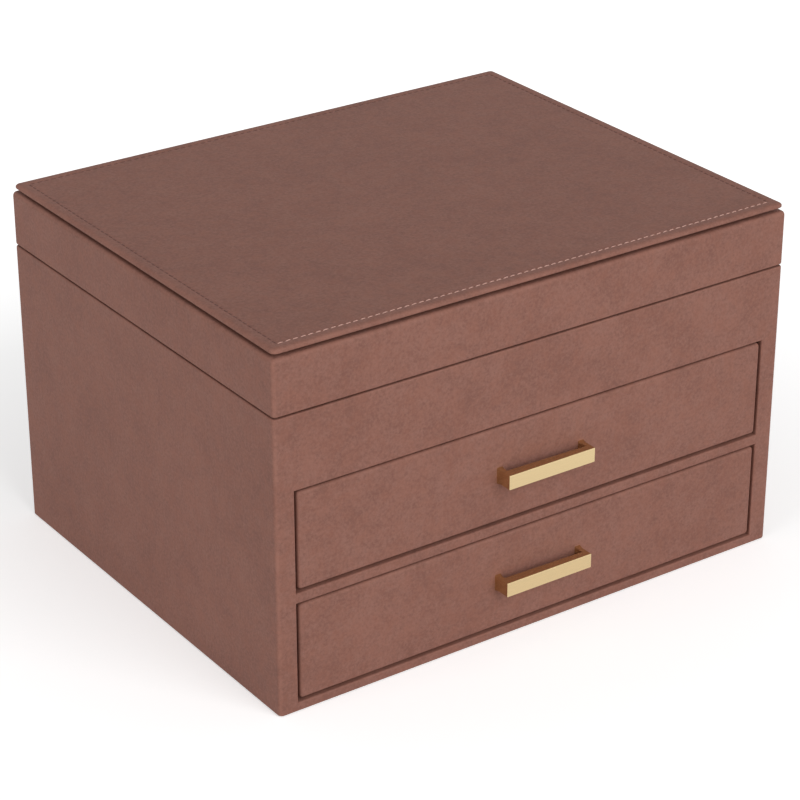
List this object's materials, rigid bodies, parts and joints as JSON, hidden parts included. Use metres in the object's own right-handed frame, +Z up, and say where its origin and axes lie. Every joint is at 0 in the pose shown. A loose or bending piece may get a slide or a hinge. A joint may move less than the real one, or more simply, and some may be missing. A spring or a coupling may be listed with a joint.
{
  "type": "ring box with drawers",
  "caption": "Leather-covered ring box with a hinged lid under a stitched top panel, a tray of padded ring rolls, and drawers with bar handles below.",
  "frame": {"origin": "middle of the underside, on the surface that the box stands on", "axes": "+X to the right as the drawers are faced, +Y to the back where the hinges are, +Z up; the drawers open towards -Y"},
  "size_m": [0.26, 0.2235, 0.1629],
  "materials": {
    "cover_leather": "brown smooth coated leatherette, softly mottled",
    "fibreboard": "bare medium-density fibreboard",
    "suede_lining": "beige microsuede glued over the boards",
    "bay_lining": "brown flocked lining that the drawers slide on",
    "roll_velvet": "beige velvet over foam",
    "base_felt": "dark brown non-slip felt",
    "mirror": "silvered glass",
    "satin_brass": "satin plated pale gold",
    "hinge_brass": "polished brass",
    "screw_steel": "zinc-plated steel"
  },
  "bodies": {
    "case": {"base_cover": "base_felt", "base_board": "fibreboard", "left_side_board": "fibreboard", "right_side_board": "fibreboard", "back_board": "fibreboard", "apron_board": "fibreboard", "drawer_shelf": "fibreboard", "tray_floor": "fibreboard", "case_leather": "cover_leather", "lower_bay_lining": "bay_lining", "upper_bay_lining": "bay_lining", "lower_stop_strip": "fibreboard", "upper_stop_strip": "fibreboard", "tray_lining": "suede_lining", "tray_divider": "suede_lining", "tray_cross_divider": "suede_lining", "ring_rolls": "roll_velvet", "left_hinge_case_leaf": "hinge_brass", "right_hinge_case_leaf": "hinge_brass", "left_hinge_pin": "hinge_brass", "right_hinge_pin": "hinge_brass"},
    "lid": {"lid_left_board": "fibreboard", "lid_right_board": "fibreboard", "lid_front_board": "fibreboard", "lid_back_board": "fibreboard", "lid_top_board": "fibreboard", "lid_leather": "cover_leather", "lid_lining": "suede_lining", "lid_mirror": "mirror", "mirror_frame": "suede_lining", "panel_spacer": "fibreboard", "panel_board": "fibreboard", "panel_leather": "cover_leather", "left_hinge_lid_leaf": "hinge_brass", "right_hinge_lid_leaf": "hinge_brass"},
    "upper_drawer": {"upper_drawer_front": "fibreboard", "upper_drawer_front_leather": "cover_leather", "upper_drawer_base": "fibreboard", "upper_drawer_left_side": "fibreboard", "upper_drawer_right_side": "fibreboard", "upper_drawer_back": "fibreboard", "upper_drawer_lining": "suede_lining", "upper_drawer_handle": "satin_brass", "upper_drawer_handle_screws": "screw_steel", "upper_drawer_long_divider": "suede_lining", "upper_drawer_cross_dividers": "suede_lining"},
    "lower_drawer": {"lower_drawer_front": "fibreboard", "lower_drawer_front_leather": "cover_leather", "lower_drawer_base": "fibreboard", "lower_drawer_left_side": "fibreboard", "lower_drawer_right_side": "fibreboard", "lower_drawer_back": "fibreboard", "lower_drawer_lining": "suede_lining", "lower_drawer_handle": "satin_brass", "lower_drawer_handle_screws": "screw_steel", "lower_drawer_divider": "suede_lining"}
  },
  "joints": [
    {"name": "lid_hinge", "type": "hinge", "parent": "case", "child": "lid", "pos_m": [0, 0.1078, 0.1342], "axis": [-1, 0, 0], "range_deg": [0, 95]},
    {"name": "upper_drawer_slide", "type": "slide", "parent": "case", "child": "upper_drawer", "axis": [0, -1, 0], "range_m": [0, 0.14]},
    {"name": "lower_drawer_slide", "type": "slide", "parent": "case", "child": "lower_drawer", "axis": [0, -1, 0], "range_m": [0, 0.14]}
  ]
}
